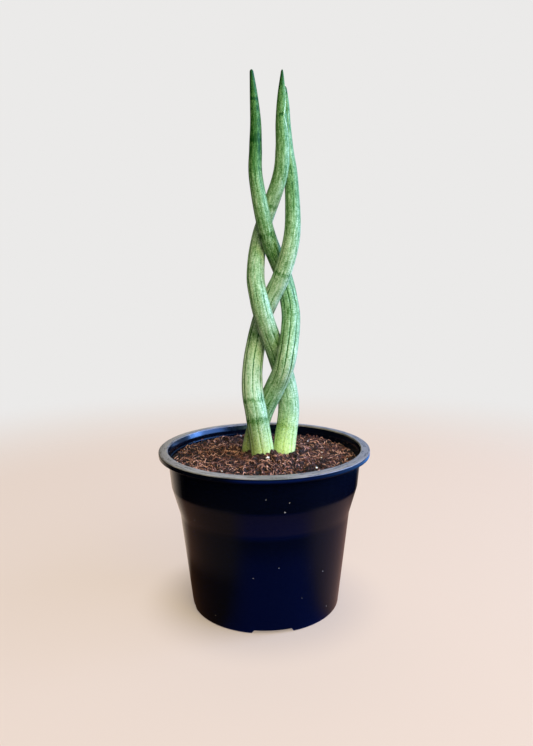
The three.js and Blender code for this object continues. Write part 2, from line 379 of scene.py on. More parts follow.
@dataclass(frozen=True)
class LeafSkin:
    """Waxy skin of a succulent leaf.

    Green flesh under a satin cuticle with a cool gloss. Every mark on it, such as a
    streak, a groove line or a ragged cross band, is a darker or paler tone of the same
    green, so they are added up and looked up in one ramp, from pale to nearly black. The
    tones and bands also carry painted shade where leaves shade each other, and the
    margin at a tip is painted pale as a highlight.
    Fibres in the flesh draw the streaks out along the leaf, and fine rows of pores lie
    across it as dashes.
    """

    name: str
    greens: Stops = (
        (0.0, "b0c6a8"),
        (0.2, "8dae87"),
        (0.4, "6f9266"),
        (0.6, "527945"),
        (0.8, "305f25"),
        (1.0, "0b390c"),
    )
    blanched: str = "cce27a"
    gloss_tint: str = "a2ecc8"
    dirt: str = "5b4a2e"
    streaks: Grain = Grain(0.9, 4.0, 0.6, (1.0, 1.0, 0.13))
    mottle: Grain = Grain(2.2, 3.0, 0.6, (1.0, 1.0, 0.4))
    dashes: Grain = Grain(0.8, 2.0, 0.5, (0.35, 0.35, 1.0))
    rag: Grain = Grain(0.9, 3.0, 0.7, (1.0, 1.0, 0.4))
    spots: Grain = Grain(0.8, 1.0)
    folds: Grain = Grain(1.1, 2.0, 0.5, (0.12, 0.12, 1.0))
    pores: Grain = Grain(0.35, 2.0)
    depths: tuple[float, ...] = (0.26, 0.11, 0.18, 0.45)  # in tone, of the first four noises
    band_edge: Limits = (0.15, 1.0, 0.0, 0.45)
    line_edge: Limits = (0.25, 0.8, 0.0, 0.85)
    spot_edge: tuple[float, float] = (0.5, 0.72)
    spot_depth: Limits = (0.0, 0.1, 0.34, 0.2)
    yellowing: Limits = (0.0, 0.12, 0.7, 0.0)
    soiling: Limits = (0.0, 0.035, 0.62, 0.0)
    soil_edge: Limits = (0.2, 0.4, 0.0, 1.0)
    satin: tuple[float, float] = (0.4, 0.5)
    relief: float = 0.35

    def material(self) -> bpy.types.Material:
        """Makes the material, which reads the leaf's straightened coordinates and marks."""
        sheet = Sheet(bpy.data.materials.new(self.name))
        straight = sheet.add("Attribute", {}, "Vector", attribute_name="straight")
        tone, rise, band, groove, crease = (
            sheet.add("Attribute", {}, "Fac", attribute_name=mark)
            for mark in ("tone", "rise", "band", "groove", "crease")
        )
        grains = (self.streaks, self.mottle, self.dashes, self.rag, self.spots, self.folds, self.pores)
        streaks, mottle, dashes, rag, spots, folds, pores = (
            sheet.add(
                "TexNoise",
                {
                    "Vector": sheet.add("Mapping", {"Vector": straight, "Scale": grain.scale}, "Vector"),
                    "Scale": per_mm(grain.size),
                    "Detail": grain.detail,
                    "Roughness": grain.roughness,
                },
            )
            for grain in grains
        )
        streak_tone, mottle_tone, dash_tone, stroke = (
            sheet.add("MapRange", dict(zip(RANGE, (noise, *USUAL, -depth, depth))))
            for noise, depth in zip((streaks, mottle, dashes, rag), self.depths)
        )
        # A band breaks up into short strokes, and holds longest in the grooves. Dark spots
        # are strewn over the skin, and are strongest at the soil.
        held = sheet.add("Math", {0: groove, 1: 0.7, 2: 0.85}, operation="MULTIPLY_ADD")
        held = sheet.add("Math", {0: band, 1: held, 2: stroke}, operation="MULTIPLY_ADD")
        line = sheet.add("Math", {0: stroke, 1: 0.3, 2: groove}, operation="MULTIPLY_ADD")
        strewn = sheet.add("MapRange", dict(zip(RANGE, (rise, *self.spot_depth))))
        banded, lined, spotted = (
            sheet.add("MapRange", dict(zip(RANGE, ends)), interpolation_type="SMOOTHSTEP")
            for ends in (
                (held, *self.band_edge),
                (line, *self.line_edge),
                (spots, *self.spot_edge, 0.0, strewn),
            )
        )
        for part in (streak_tone, mottle_tone, dash_tone, spotted, banded, lined):
            tone = sheet.add("Math", {0: tone, 1: part}, operation="ADD")
        colour = sheet.add("ValToRGB", {"Fac": tone}, stops=self.greens)
        # What the soil has kept from the light is yellower, and a little dirt sticks to it.
        yellow = sheet.add("MapRange", dict(zip(RANGE, (rise, *self.yellowing))))
        yellow = sheet.add("Math", {0: spotted, 1: -1.4, 2: yellow}, operation="MULTIPLY_ADD", use_clamp=True)
        soiled = sheet.add("MapRange", dict(zip(RANGE, (rise, *self.soiling))))
        soiled = sheet.add("Math", {0: soiled, 1: rag}, operation="MULTIPLY")
        soiled = sheet.add(
            "MapRange", dict(zip(RANGE, (soiled, *self.soil_edge))), interpolation_type="SMOOTHSTEP"
        )
        for share, shade in ((yellow, self.blanched), (soiled, self.dirt)):
            colour = sheet.add(
                "Mix", {"Factor_Float": share, "A_Color": colour, "B_Color": linear(shade)}, data_type="RGBA"
            )
        # Skin gathers in fine creases across the inside of a bend.
        folds = sheet.add("Math", {0: folds, 1: crease}, operation="MULTIPLY")
        relief = sheet.add("Math", {0: streaks, 1: 0.5, 2: folds}, operation="MULTIPLY_ADD")
        relief = sheet.add("Math", {0: pores, 1: 0.12, 2: relief}, operation="MULTIPLY_ADD")
        normal = sheet.add("Bump", {"Height": relief, "Strength": 0.6, "Distance": self.relief * MM})
        satin = sheet.add("MapRange", dict(zip(RANGE, (mottle, *USUAL, *self.satin))))
        shader = sheet.add(
            "BsdfPrincipled",
            {
                "Base Color": colour,
                "Roughness": satin,
                "Normal": normal,
                "IOR": 1.5,
                "Specular IOR Level": 0.3,
                "Specular Tint": linear(self.gloss_tint),
            },
        )
        sheet.add("OutputMaterial", {"Surface": shader})
        return sheet.owner


@dataclass(frozen=True)
class MouldedPolypropylene:
    """Injection-moulded black polypropylene.

    The pigment gives it a nearly black navy, and its glossy skin mirrors the room with a
    blue cast, with fine flow streaks down the wall and a little dust. A faint brown on the
    shoulder is a painted reflection of the table, and the top of the lip is scuffed grey.
    """

    name: str = "moulded_polypropylene"
    body: str = "020410"
    gloss_tint: str = "9fd0ff"
    flow: Grain = Grain(2.5, 3.0, 0.5, (1.0, 1.0, 0.05))
    flow_gloss: tuple[float, float] = (0.14, 0.2)
    grain: Grain = Grain(0.6, 2.0)
    grain_height: float = 0.1
    scuff: str = "968f88"
    scuff_from: float = 129.7
    scuffs: Grain = Grain(1.6, 4.0, 0.65)
    scuff_edge: Limits = (0.35, 0.75, 0.33, 0.9)
    scuff_radius: float = 12.0
    scuff_dulling: float = 0.25
    painted_reflection: str = "1d1619"
    painted_reflection_depth: float = 0.25
    painted_reflection_edges: tuple[float, float] = (81.5, 99.5)
    dust: str = "8d8a86"
    dust_spacing: float = 9.0
    dust_sizes: Limits = (0.4, 0.75, 0.0, 0.06)
    dust_rag: Grain = Grain(0.6, 1.0)
    dust_shift: float = 1.6

    def material(self) -> bpy.types.Material:
        """Makes the material, which reads Object coordinates."""
        sheet = Sheet(bpy.data.materials.new(self.name))
        place = sheet.add("TexCoord", {}, "Object")
        height = sheet.add("SeparateXYZ", {"Vector": place}, "Z")
        drawn = sheet.add("Mapping", {"Vector": place, "Scale": self.flow.scale}, "Vector")
        # The rubbing runs round the lip: its noise reads the direction from the axis,
        # shortened, and the distance from it.
        flat = sheet.add("Mapping", {"Vector": place, "Scale": (1, 1, 0)}, "Vector")
        away = sheet.add("VectorMath", {0: flat}, "Value", operation="LENGTH")
        away = sheet.add("CombineXYZ", {"Z": away})
        around = sheet.add("VectorMath", {0: flat}, operation="NORMALIZE")
        short = (self.scuff_radius * MM, self.scuff_radius * MM, 0)
        around = sheet.add("VectorMath", {0: around, 1: short, 2: away}, operation="MULTIPLY_ADD")
        flow, grain, rubbed, ragged = (
            sheet.add(
                "TexNoise",
                {
                    "Vector": vector,
                    "Scale": per_mm(noise.size),
                    "Detail": noise.detail,
                    "Roughness": noise.roughness,
                },
                out,
            )
            for noise, vector, out in (
                (self.flow, drawn, ""),
                (self.grain, place, ""),
                (self.scuffs, around, ""),
                (self.dust_rag, place, "Color"),
            )
        )
        rubbed = sheet.add("MapRange", dict(zip(RANGE, (rubbed, *self.scuff_edge))))
        high = sheet.add("Math", {0: height, 1: self.scuff_from * MM}, operation="GREATER_THAN")
        rubbed = sheet.add("Math", {0: rubbed, 1: high}, operation="MULTIPLY")
        gloss = sheet.add("MapRange", dict(zip(RANGE, (flow, *USUAL, *self.flow_gloss))))
        gloss = sheet.add("Math", {0: rubbed, 1: self.scuff_dulling, 2: gloss}, operation="MULTIPLY_ADD")
        # A speck of dust is what lies near the middle of a cell, with a ragged outline.
        shift = (self.dust_shift * MM,) * 3
        ragged = sheet.add("VectorMath", {0: ragged, 1: shift, 2: place}, operation="MULTIPLY_ADD")
        speck = sheet.add("TexVoronoi", {"Vector": ragged, "Scale": per_mm(self.dust_spacing)}, "Distance")
        sized = sheet.add("TexVoronoi", {"Vector": place, "Scale": per_mm(self.dust_spacing)}, "Color")
        sized = sheet.add("MapRange", dict(zip(RANGE, (sized, *self.dust_sizes))))
        dust = sheet.add("Math", {0: sized, 1: speck}, operation="GREATER_THAN")
        # The faint brown band on the shoulder, between these edges, is a painted reflection of the table near
        # the pot.
        low, high = (edge * MM for edge in self.painted_reflection_edges)
        above = sheet.add("MapRange", dict(zip(RANGE, (height, low - MM, low + MM))))
        reflection_share = sheet.add("MapRange", dict(zip(RANGE, (height, high - MM, high + MM, self.painted_reflection_depth, 0.0))))
        reflection_share = sheet.add("Math", {0: reflection_share, 1: above}, operation="MULTIPLY")
        colour = linear(self.body)
        for share, shade in ((reflection_share, self.painted_reflection), (rubbed, self.scuff), (dust, self.dust)):
            colour = sheet.add(
                "Mix", {"Factor_Float": share, "A_Color": colour, "B_Color": linear(shade)}, data_type="RGBA"
            )
        normal = sheet.add("Bump", {"Height": grain, "Strength": 0.08, "Distance": self.grain_height * MM})
        shader = sheet.add(
            "BsdfPrincipled",
            {
                "Base Color": colour,
                "Roughness": gloss,
                "Normal": normal,
                "IOR": 1.45,
                "Specular Tint": linear(self.gloss_tint),
            },
        )
        sheet.add("OutputMaterial", {"Surface": shader})
        return sheet.owner


@dataclass(frozen=True)
class PeatMix:
    """Moist peat, coir, bark or perlite.

    A matt surface whose pieces each have their own tone, for the peat from nearly black
    to tan, read from the mark "tone" that each piece carries.
    """

    name: str
    tones: Stops
    grain_size: float = 0.8
    roughness: float = 0.85
    patches: Limits = (0.25, 0.75, -0.22, 0.22)
    relief: float = 0.5

    def material(self) -> bpy.types.Material:
        """Makes the material, which reads Object coordinates and the tone mark."""
        sheet = Sheet(bpy.data.materials.new(self.name))
        place = sheet.add("TexCoord", {}, "Object")
        tone = sheet.add("Attribute", {}, "Fac", attribute_name="tone")
        grain = sheet.add(
            "TexNoise", {"Vector": place, "Scale": per_mm(self.grain_size), "Detail": 4.0, "Roughness": 0.7}
        )
        patch = sheet.add("MapRange", dict(zip(RANGE, (grain, *self.patches))))
        tone = sheet.add("Math", {0: tone, 1: patch}, operation="ADD")
        colour = sheet.add("ValToRGB", {"Fac": tone}, stops=self.tones)
        normal = sheet.add("Bump", {"Height": grain, "Strength": 0.7, "Distance": self.relief * MM})
        shader = sheet.add(
            "BsdfPrincipled",
            {"Base Color": colour, "Roughness": self.roughness, "Normal": normal, "IOR": 1.45},
        )
        sheet.add("OutputMaterial", {"Surface": shader})
        return sheet.owner


@dataclass(frozen=True)
class Card:
    """A coloured card on the studio floor that only mirrors see: the direction from the
    pot in which it lies, the cosine of its half spread, its colours, with their places
    as shares of the cards' reach from the axis, and how strongly it glows."""

    towards: tuple[float, float, float]
    spread: float
    colours: Stops
    strength: float = 1.0


@dataclass(frozen=True)
class PaleSurface:
    """Matt pale paint for the studio floor, lit from below like a light table so that
    shadows stay faint away from the pot. It fades out far from the plant. Mirrors see a
    warm ground on it near the pot, black beyond that, and over both, each towards its
    own direction, the cards. Distances are metres."""

    name: str = "studio_floor_paint"
    colour: str = "b8a594"
    glow: str = "f8e6da"
    glow_share: Limits = (0.055, 0.11, 0.3, 0.7)
    reach: float = 0.5
    ground: Stops = ((0.22, "4e3424"), (0.27, "8a6450"), (0.38, "8a6450"), (0.5, "000000"))
    cards: tuple[Card, ...] = (
        Card(
            towards=(0.94, 0.34, 0.0),
            spread=0.2,
            colours=((0.38, "4f3d37"), (0.5, "000000"), (0.74, "000000"), (0.88, "3f70b4")),
            strength=5.0,
        ),
        Card(
            towards=(0.2, -0.98, 0.0),
            spread=0.6,
            colours=((0.28, "0d174b"), (0.35, "000000"), (0.74, "000000"), (0.88, "2a4aa8")),
            strength=5.0,
        ),
        Card((-0.25, 0.97, 0.0), 0.5, ((0.0, "e6cdb8"), (1.0, "e6cdb8"))),
    )
    card_middle: float = 0.95  # the cosine of the angle within which a card is all there is
    fading: tuple[float, float] = (0.42, 0.95)

    def material(self) -> bpy.types.Material:
        """Makes the material, which reads Object coordinates."""
        sheet = Sheet(bpy.data.materials.new(self.name))
        place = sheet.add("TexCoord", {}, "Object")
        away = sheet.add("VectorMath", {0: place}, "Value", operation="LENGTH")
        # The glow gives way close to the pot, which leaves a soft shadow round its foot.
        faded, near = (
            sheet.add("MapRange", dict(zip(RANGE, (away, *ends))), interpolation_type="SMOOTHSTEP")
            for ends in (self.fading, self.glow_share)
        )
        paint = sheet.add("BsdfDiffuse", {"Color": linear(self.colour)})
        glow = sheet.add("Emission", {"Color": linear(self.glow)})
        seen = sheet.add("LightPath", {}, "Is Camera Ray")
        seen = sheet.add("Math", {0: seen, 1: near}, operation="MULTIPLY")
        paint = sheet.add("MixShader", {0: seen, 1: paint, 2: glow})
        towards = sheet.add("VectorMath", {0: place}, operation="NORMALIZE")
        far = sheet.add("Math", {0: away, 1: self.reach}, operation="DIVIDE")
        shown = sheet.add("ValToRGB", {"Fac": far}, stops=self.ground)
        for card in self.cards:
            laid = sheet.add("ValToRGB", {"Fac": far}, stops=card.colours)
            laid = sheet.add("VectorMath", {0: laid, "Scale": card.strength}, operation="SCALE")
            share = sheet.add("VectorMath", {0: towards, 1: card.towards}, "Value", operation="DOT_PRODUCT")
            share = sheet.add(
                "MapRange",
                dict(zip(RANGE, (share, card.spread, self.card_middle))),
                interpolation_type="SMOOTHSTEP",
            )
            shown = sheet.add(
                "Mix", {"Factor_Float": share, "A_Color": shown, "B_Color": laid}, data_type="RGBA"
            )
        flagged = sheet.add("Emission", {"Color": shown})
        glossy = sheet.add("LightPath", {}, "Is Glossy Ray")
        paint = sheet.add("MixShader", {0: glossy, 1: paint, 2: flagged})
        clear = sheet.add("BsdfTransparent", {})
        shader = sheet.add("MixShader", {0: faded, 1: paint, 2: clear})
        sheet.add("OutputMaterial", {"Surface": shader})
        return sheet.owner


# ---------------------------------------------------------------- pot


@dataclass
class NurseryPot:
    """The pot: tapered body, shoulder, collar, lip with a turned-down skirt, and a foot
    ring cut by drain notches. Radii are of the outer surface. There are four notches,
    and four drain holes on each circle, with the first turned from the front to +X."""

    wall: float = 1.4
    foot_inner_radius: float = 53.0
    floor_height: float = 3.2
    base_radius: float = 60.2
    body_top: tuple[float, float] = (69.0, 78.8)
    shoulder_top: tuple[float, float] = (75.4, 101.4)
    collar_top: tuple[float, float] = (77.8, 126.0)
    lip_radius: float = 85.0
    lip_inner_radius: float = 78.0
    height: float = 131.0
    lip_thickness: float = 1.6
    lip_slope: float = 0.8
    skirt_bottom: float = 126.4
    ledge_height: float = 122.8
    ledge_step: float = 0.5
    notch_turn: float = 5.5
    notch_radius: float = 57.0
    notch_half_width: float = 15.5
    notch_lean: float = 2.0
    notch_height: float = 3.0
    drain_radius: float = 4.0
    drain_sides: int = 30
    drain_circles: tuple[tuple[float, float], ...] = ((45.0, 5.5), (24.0, 50.5))
    drill_heights: tuple[float, float] = (1.0, 7.0)
    columns: int = 300
    closest_column: float = 0.35  # to a notch's edge, as a share of the columns' spacing
    sharp_angle: float = 50.0

    def body_radius(self, height: float) -> float:
        """The outer radius of the tapered body at a height."""
        return self.base_radius + (self.body_top[0] - self.base_radius) * height / self.body_top[1]

    def corners(self) -> list[tuple[float, float, float]]:
        """The profile's corners, from under the floor round the outside to inside it:
        radius, height and the reach of the rounding."""
        under_lip = self.height - self.lip_thickness
        floor_top = self.floor_height + self.wall
        inner = self.collar_top[0] - self.wall
        neck = self.lip_inner_radius + self.wall
        skirt = self.lip_radius - self.wall
        return [
            (0, self.floor_height, 0),
            (self.foot_inner_radius, self.floor_height, 0.4),
            (self.foot_inner_radius, 0, 0.4),
            (self.base_radius, 0, 2.0),
            (*self.body_top, 2.2),
            (*self.shoulder_top, 1.2),
            (*self.collar_top, 0.5),
            (neck, self.collar_top[1] + self.wall, 0.5),
            (neck, under_lip, 0.4),
            (skirt, under_lip, 0.4),
            (skirt, self.skirt_bottom, 0.35),
            (self.lip_radius, self.skirt_bottom, 0.45),
            (self.lip_radius, self.height - self.lip_slope, 1.0),
            (self.lip_inner_radius, self.height, 0.8),
            (inner, self.collar_top[1], 0.8),
            (inner, self.ledge_height, 0.15),
            (inner - self.ledge_step, self.ledge_height - self.ledge_step, 0.15),
            (self.shoulder_top[0] - self.wall, self.shoulder_top[1], 1.2),
            (self.body_top[0] - self.wall, self.body_top[1], 2.2),
            (self.body_radius(floor_top) - self.wall, floor_top, 1.5),
            (0, floor_top, 0),
        ]

    def build(self) -> bpy.types.Object:
        """Turns the profile about the axis, squeezes the foot ring up at the notches,
        and drills the drain holes.

        Height z below the floor becomes n + z(1 - n / floor height), where n is the
        notch height times a ramp that is 1 inside a notch and 0 outside it. The columns
        are evenly spaced, but for those that would crowd a notch's edges.
        """
        spacing = TURN / self.columns
        middle = np.radians(self.notch_turn + QUARTERS)
        reach = np.array([self.notch_half_width, self.notch_half_width - self.notch_lean])
        ends = np.arcsin(reach / self.notch_radius)
        edges = (middle[:, None] + np.r_[ends, -ends]).ravel() % TURN
        columns = np.arange(self.columns) * spacing
        clear = np.abs(apart(columns[:, None], edges, TURN)).min(1) > spacing * self.closest_column
        angles = np.sort(np.r_[columns[clear], edges])
        corners = self.corners()
        grid = lathe(rounded(corners), angles)
        turn = np.abs(apart(angles[:, None], middle, TURN)).min(1)
        notch = self.notch_height * np.clip((ends[0] - turn) / (ends[0] - ends[1]), 0, 1)
        z = grid[..., 2]
        squeezed = notch + z * (1 - notch / self.floor_height)
        grid[..., 2] = np.where(z < self.floor_height, squeezed, z)
        poles = [(0, 0, corners[0][1]), (0, 0, corners[-1][1])]
        points = np.vstack([grid.reshape(-1, 3), poles])
        pot = new_piece("nursery_pot", points, skin_faces(*grid.shape[:2]))
        self.drill(pot)
        pot.data.set_sharp_from_angle(angle=np.radians(self.sharp_angle))
        return pot

    def drill(self, pot: bpy.types.Object) -> None:
        """Cuts the drain holes: upright cylinders on two circles through the floor."""
        around = np.radians(np.arange(0, 360, 360 // self.drain_sides))
        grid = lathe(np.array([(self.drain_radius, height) for height in self.drill_heights]), around)
        drill = np.vstack([grid.reshape(-1, 3), [(0, 0, height) for height in self.drill_heights]])
        circles = self.drain_circles
        holes = np.array([(away, turn + quarter) for away, turn in circles for quarter in QUARTERS])
        middle = np.c_[holes[:, :1] * circle(np.radians(holes[:, 1])), np.zeros(len(holes))]
        points = drill + middle[:, None]
        faces = [repeated(group, len(holes), len(drill)) for group in skin_faces(*grid.shape[:2])]
        cutter = new_piece("drain_cutter", points.reshape(-1, 3), faces)
        cut = pot.modifiers.new("drain_holes", "BOOLEAN")
        cut.object, cut.operation, cut.solver = cutter, "DIFFERENCE", "EXACT"
        shaped = bpy.data.meshes.new_from_object(pot.evaluated_get(bpy.context.evaluated_depsgraph_get()))
        pot.modifiers.clear()
        pot.data = shaped
        bpy.data.objects.remove(cutter)

    def dress(self) -> None:
        """Builds the pot and gives it its finish."""
        settle(self.build(), MouldedPolypropylene().material(), "pot")


# ---------------------------------------------------------------- leaves


@dataclass(frozen=True)
class SkinGrid:
    """The places on a leaf's skin, as a grid of rings and angles: the angles, the radius
    of each ring, and for each point its ring's height, the direction it faces (degrees
    from the front towards +X) and its straightened coordinates. Those are its place on
    an even, upright leaf of the same length."""

    angle: Array
    radius: Array
    height: Array
    facing: Array
    straight: Array


@dataclass(frozen=True)
class Band:
    """A dark band across a leaf; most are the leaf's own markings, and some are painted
    shadows of the leaves that cross it: its height, its half width, how dark it is from 0
    to 1, and if it isn't all round, the direction it faces (degrees from the front towards
    +X) and how far it spreads to each side."""

    height: float
    width: float
    depth: float
    turn: float = 0.0
    spread: float = 0.0


@dataclass(frozen=True)
class TipChannel:
    """An open channel in a leaf's tip: the height at which it starts, the direction it
    faces, its half width in degrees, and its depth as a share of the radius. It opens
    over its run-in, and its lips stand out by a share of the radius too."""

    start: float
    turn: float
    width: float
    depth: float
    run_in: float = 5.0
    lip: float = 0.05
    lip_place: float = 1.15
    lip_width: float = 0.35

    def shape(self, grid: SkinGrid) -> tuple[Array, Array, Array]:
        """Its trough, e to the minus fourth power of the angle from its middle over its
        half width; its two lips, bell curves beside that; and how far it has opened."""
        away = apart(grid.facing, self.turn)
        trough = np.exp(-((away / self.width) ** 4))
        lips = bell((np.abs(away) - self.width * self.lip_place) / (self.width * self.lip_width))
        return trough, lips, ease(grid.height, self.start, self.start + self.run_in)


@dataclass(frozen=True)
class Margin:
    """A raised edge along a leaf's tip, painted pale as a highlight: its path, as heights and
    the directions it faces there, the height of the nick that crosses the leaf beside it,
    its half width, how far it stands out, the length over which it fades in, the nick's
    half width, and where the skin beside it gets painted shade, in half widths."""

    path: tuple[tuple[float, float], ...]
    nick: float
    width: float = 0.55
    proud: float = 0.16
    fade: float = 25.0
    nick_width: float = 0.9
    shaded_at: float = 2.2

    def shape(self, grid: SkinGrid) -> tuple[Array, Array, Array]:
        """How far the margin stands out, a bell curve of the distance from its path; how much
        painted shade the skin behind it gets; and the nick's depth, which also sets the painted
        shade in the nick, the last two from 0 to 1."""
        path = np.array(self.path)
        away = apart(grid.facing, np.interp(grid.height, path[:, 0], path[:, 1]))
        away = np.radians(away) * grid.radius / self.width
        present = ease(grid.height, path[0, 0], path[0, 0] + self.fade)
        nick = bell((grid.height - self.nick) / self.nick_width) * ease(-away, -1, 1) * ease(away, -9, -6)
        return self.proud * present * bell(away), present * bell(away - self.shaded_at), nick


@dataclass
class Leaf:
    """One round leaf that tapers to a rounded point and is bent through its stations, each
    height, sideways, towards the back and diameter. Its tones are height and tone, from 0,
    pale, to 1, nearly black; in places they are raised as painted shade where the other
    leaves shade it. Each of its bands and shadows is the values of a Band, and some of
    them are painted shadows of the leaves that cross it."""

    name: str
    node: str
    grooves: int
    groove_turn: float
    stations: tuple[tuple[float, float, float, float], ...]
    tones: tuple[tuple[float, float], ...]
    bands: tuple[tuple[float, ...], ...]
    channel: TipChannel
    seed: int
    margin: Margin | None = None
    lesser_bands: int = 26
    lesser_crowding: float = 1.8
    lesser_limits: tuple[tuple[float, float], ...] = ((0.5, 1.4), (0.15, 0.4), (-180, 180), (30, 90))
    band_blur: float = 1.3
    band_waver: float = 0.9
    band_patchiness: float = 0.35
    soil_line: float = 122.0
    route_steps: int = 6000
    ring_spacing: float = 0.55
    fine_below_soil: float = 6.0
    rings_below: int = 8
    tip_length: float = 5.0
    tip_rings: int = 34
    tip_crowding: float = 2.4
    tip_step: float = 0.02
    tip_round: float = 2.0
    sides: int = 120
    groove_sway: float = 4.0
    groove_strengths: tuple[float, float] = (0.72, 1.0)
    flute_depth: float = 0.02
    line_depth: float = 0.32
    line_width: float = 0.5
    line_fade: float = 0.42
    line_fade_heights: tuple[float, float] = (262.0, 312.0)
    ridge_place: float = 1.7
    ridge_width: float = 0.8
    unevenness: float = 0.012
    nick_depth: float = 0.1
    sharpest_bend: float = 0.16  # radius of the leaf over radius of the bend

    def foot(self) -> tuple[float, float]:
        """Where the leaf stands in the soil: sideways, towards the back."""
        return self.stations[1][1], self.stations[1][2]

    def rings(self) -> tuple[Array, Array, Array]:
        """Places (sideways, back, height, diameter), directions, and distances along the
        leaf of its rings.

        The rings are evenly spaced along the route above the soil, coarse below it, and
        crowd towards the tip as a power of the distance that is left.
        """
        stations = np.array(self.stations)[:, [1, 2, 0, 3]]
        fine = np.linspace(0, 1, self.route_steps)
        places, _ = along_stations(stations, fine)
        length = np.r_[0, np.linalg.norm(np.diff(places[:, :3], axis=0), axis=1).cumsum()]
        under = np.interp(self.soil_line - self.fine_below_soil, places[:, 2], length)
        even = np.arange(under, length[-1] - self.tip_length, self.ring_spacing)
        left = self.tip_length * (1 - np.linspace(0, 1, self.tip_rings)) ** self.tip_crowding
        tip = length[-1] - np.maximum(left, self.tip_step)
        at = np.unique(np.r_[np.linspace(0, under, self.rings_below)[:-1], even, tip])
        places, slopes = along_stations(stations, np.interp(at, length, fine))
        return places, unit(slopes[:, :3]), at

    def grid(self, places: Array, at: Array) -> SkinGrid:
        """The grid of the skin.

        Each ring's radius is half the route's diameter there, times the square root of
        1 - l^2 in the rounded tip, where l is how far into the tip it is.

        Args:
            places: places of the rings, with their diameters last.
            at: their distances along the leaf.

        Returns:
            The grid.
        """
        angle = np.linspace(0, TURN, self.sides, endpoint=False)
        left = np.maximum(1 - (self.stations[-1][0] - places[:, 2]) / self.tip_round, 0)
        radius = (places[:, 3] / 2 * np.sqrt(1 - left**2))[:, None]
        height = np.broadcast_to(places[:, 2:3], (len(at), self.sides))
        facing = np.broadcast_to((np.degrees(angle) + 90) % 360, height.shape)
        across, back = self.stations[0][3] / 2 * circle(angle).T
        straight = np.stack(np.broadcast_arrays(across, back, at[:, None]), -1)
        return SkinGrid(angle, radius, height, facing, straight)

    def banding(self, grid: SkinGrid) -> Array:
        """How dark the cross bands and painted shadows are at each point, from 0 to 1, by the darkest one.

        A band's darkness is its depth times a bell curve of the distance to its wavering
        middle, faded by the angle from the way it faces. To the bands that are set, many
        lesser ones are added at random, which crowd towards the tip.
        """
        rng = np.random.default_rng(self.seed)
        tip = self.stations[-1][0]
        up = rng.uniform(0, 1, self.lesser_bands) ** self.lesser_crowding
        heights = tip - 4 - (tip - 20 - self.soil_line) * up
        lesser = zip(heights, *[rng.uniform(*limits, self.lesser_bands) for limits in self.lesser_limits])
        waver = self.band_waver * soft_noise(grid.straight, cell=6.0, seed=self.seed + 1, octaves=2)
        patchy = soft_noise(grid.straight, cell=3.5, seed=self.seed + 2, octaves=2)
        dark = np.zeros_like(grid.height)
        for band in (Band(*values) for values in (*self.bands, *lesser)):
            across = bell((grid.height + waver - band.height) / (self.band_blur * band.width))
            if band.spread:
                across = across * bell(apart(grid.facing, band.turn) / band.spread)
            dark = np.maximum(dark, band.depth * across)
        return np.clip(dark * (1 + self.band_patchiness * patchy), 0, 1)

    def grooving(self, grid: SkinGrid) -> tuple[Array, Array, Array, Array]:
        """The grooves: evenly spaced, swaying a little, and fainter where the leaf thins.

        A flute is a squared cosine as wide as the spacing. The line in its middle is a
        bell curve of the distance from it, and so are the ridges beside the line.

        Returns:
            Flutes, lines and ridges, each from 0 to 1, and how strong the nearest
            groove is at each point.
        """
        spacing = TURN / self.grooves
        sway = np.radians(self.groove_sway) * soft_noise(grid.straight, cell=40.0, seed=self.seed + 3)
        turned = grid.angle - np.radians(self.groove_turn) + sway
        number = np.round(turned / spacing)
        off = turned - number * spacing
        own = np.random.default_rng(self.seed + 4).uniform(*self.groove_strengths, self.grooves)
        strength = own[number.astype(int) % self.grooves]
        patchy = soft_noise(grid.straight, cell=20.0, seed=self.seed + 5, octaves=2)
        strength = strength * (0.8 + 0.4 * patchy)
        strength = strength * (1 - self.line_fade * ease(grid.height, *self.line_fade_heights))
        flute = np.maximum(np.cos(self.grooves * off), 0) ** 2
        line = bell(off * grid.radius / self.line_width)
        ridge = bell((np.abs(off) * grid.radius - self.ridge_place) / self.ridge_width)
        return flute, line, ridge, strength

    def build(self) -> bpy.types.Object:
        """Wraps the skin round the route.

        At each angle the radius is the ring's own, less a wide shallow flute and a
        narrow line at each groove, less the channel near the tip, times a slow noise,
        plus the margin and less its nick. The section's first axis is +X made square to
        the route.
        """
        places, along, at = self.rings()
        grid = self.grid(places, at)
        radius, slim = grid.radius, np.minimum(grid.radius / (self.stations[0][3] / 2), 1)
        flute, line, ridge, strength = self.grooving(grid)
        trough, lips, opened = self.channel.shape(grid)
        edge, shaded, nick = self.margin.shape(grid) if self.margin else np.zeros((3, *grid.height.shape))
        reach = radius * (1 - self.flute_depth * flute * strength)
        reach = reach - self.line_depth * slim * line * strength
        reach = reach - radius * self.channel.depth * trough * opened
        reach = reach + radius * self.channel.lip * lips * opened
        uneven = soft_noise(grid.straight, cell=16.0, seed=self.seed + 6, octaves=2)
        reach = reach * (1 + self.unevenness * uneven)
        reach = reach + edge * slim - self.nick_depth * radius * nick
        across = unit(np.array([1.0, 0, 0]) - along * along[:, :1])
        back = np.cross(along, across)
        cos, sin = circle(grid.angle).T[..., None]
        normal = across[:, None] * cos + back[:, None] * sin
        points = places[:, None, :3] + reach[..., None] * normal
        ends = [places[0, :3], np.array(self.stations[-1])[[1, 2, 0]]]
        bend = np.gradient(along, at, axis=0)
        tone = np.interp(grid.height, *np.array(self.tones).T)
        tone = tone + 0.09 * soft_noise(grid.straight, cell=9.0, seed=self.seed + 7, octaves=2)
